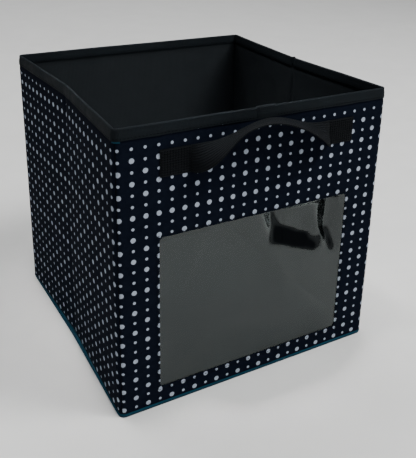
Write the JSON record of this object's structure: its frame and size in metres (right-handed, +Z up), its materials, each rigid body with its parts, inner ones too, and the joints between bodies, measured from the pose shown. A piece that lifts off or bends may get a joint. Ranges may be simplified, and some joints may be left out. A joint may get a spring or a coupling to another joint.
{
  "type": "fabric storage bin",
  "caption": "Collapsible cube bin of dotted cloth over boards, with a bound rim, a clear front window and a webbing handle.",
  "frame": {"origin": "middle of the underside, on the surface the bin stands on", "axes": "+Z up, +Y from the front wall (window and handle) to the back wall, +X to the right seen from the front"},
  "size_m": [0.2816, 0.304, 0.2767],
  "materials": {
    "printed_cloth": "plain-woven near-black navy cloth printed with off-white dots",
    "lining_cloth": "black nonwoven lining",
    "binding_tape": "black bias tape, sewn",
    "stiffener_board": "grey chipboard",
    "webbing": "black woven webbing",
    "clear_vinyl": "clear flexible vinyl"
  },
  "bodies": {
    "back": {"back_outer_cloth": "printed_cloth", "back_board": "stiffener_board", "back_lining": "lining_cloth", "back_rim_binding": "binding_tape", "floor_cloth": "printed_cloth", "floor_welt": "printed_cloth", "back_left_corner_cloth": "printed_cloth", "back_right_corner_cloth": "printed_cloth"},
    "left_rear": {"left_rear_outer_cloth": "printed_cloth", "left_rear_board": "stiffener_board", "left_rear_lining": "lining_cloth", "left_rear_rim_binding": "binding_tape", "left_crease_cloth": "printed_cloth"},
    "left_front": {"left_front_outer_cloth": "printed_cloth", "left_front_board": "stiffener_board", "left_front_lining": "lining_cloth", "left_front_rim_binding": "binding_tape", "front_left_corner_cloth": "printed_cloth"},
    "front": {"front_outer_cloth": "printed_cloth", "front_board": "stiffener_board", "front_lining": "lining_cloth", "front_rim_binding": "binding_tape", "binding_lap": "binding_tape", "window_pane": "clear_vinyl", "handle_left_end": "webbing", "handle_right_end": "webbing", "front_right_corner_cloth": "printed_cloth"},
    "right_rear": {"right_rear_outer_cloth": "printed_cloth", "right_rear_board": "stiffener_board", "right_rear_lining": "lining_cloth", "right_rear_rim_binding": "binding_tape", "right_crease_cloth": "printed_cloth"},
    "right_front": {"right_front_outer_cloth": "printed_cloth", "right_front_board": "stiffener_board", "right_front_lining": "lining_cloth", "right_front_rim_binding": "binding_tape"},
    "insert": {"insert_board": "stiffener_board", "insert_top_cloth": "lining_cloth", "insert_bottom_cloth": "lining_cloth"},
    "handle": {"handle_strap": "webbing"}
  },
  "joints": [
    {"name": "left_rear_fold", "type": "hinge", "parent": "back", "child": "left_rear", "pos_m": [-0.1346, 0.1331, 0.14], "axis": [0, 0, 1], "range_deg": [-2.5, 85.5], "deforming": ["back_left_corner_cloth", "floor_cloth", "floor_welt"]},
    {"name": "left_crease_fold", "type": "hinge", "parent": "left_rear", "child": "left_front", "pos_m": [-0.13539, 0, 0.14], "axis": [0, 0, 1], "range_deg": [-171, 5], "deforming": ["left_crease_cloth"]},
    {"name": "left_front_fold", "type": "hinge", "parent": "left_front", "child": "front", "pos_m": [-0.1346, -0.1331, 0.14], "axis": [0, 0, 1], "range_deg": [-2.5, 85.5], "deforming": ["front_left_corner_cloth"]},
    {"name": "right_rear_fold", "type": "hinge", "parent": "back", "child": "right_rear", "pos_m": [0.1346, 0.1331, 0.14], "axis": [0, 0, 1], "range_deg": [-85.5, 2.5], "deforming": ["back_right_corner_cloth"]},
    {"name": "right_crease_fold", "type": "hinge", "parent": "right_rear", "child": "right_front", "pos_m": [0.13539, 0, 0.14], "axis": [0, 0, 1], "range_deg": [-5, 171], "deforming": ["right_crease_cloth", "front_right_corner_cloth"]},
    {"name": "insert_lift", "type": "hinge", "parent": "back", "child": "insert", "pos_m": [0, 0.1348, 0.0034], "axis": [-1, 0, 0], "range_deg": [0, 90]},
    {"name": "handle_swing", "type": "hinge", "parent": "front", "child": "handle", "pos_m": [0, -0.1407, 0.2414], "axis": [1, 0, 0], "range_deg": [0, 120]}
  ],
  "couplings": [
    {"joint": "left_crease_fold", "follows": "left_rear_fold", "ratio": -2},
    {"joint": "left_front_fold", "follows": "left_rear_fold", "ratio": 1},
    {"joint": "right_rear_fold", "follows": "left_rear_fold", "ratio": -1},
    {"joint": "right_crease_fold", "follows": "left_rear_fold", "ratio": 2}
  ]
}
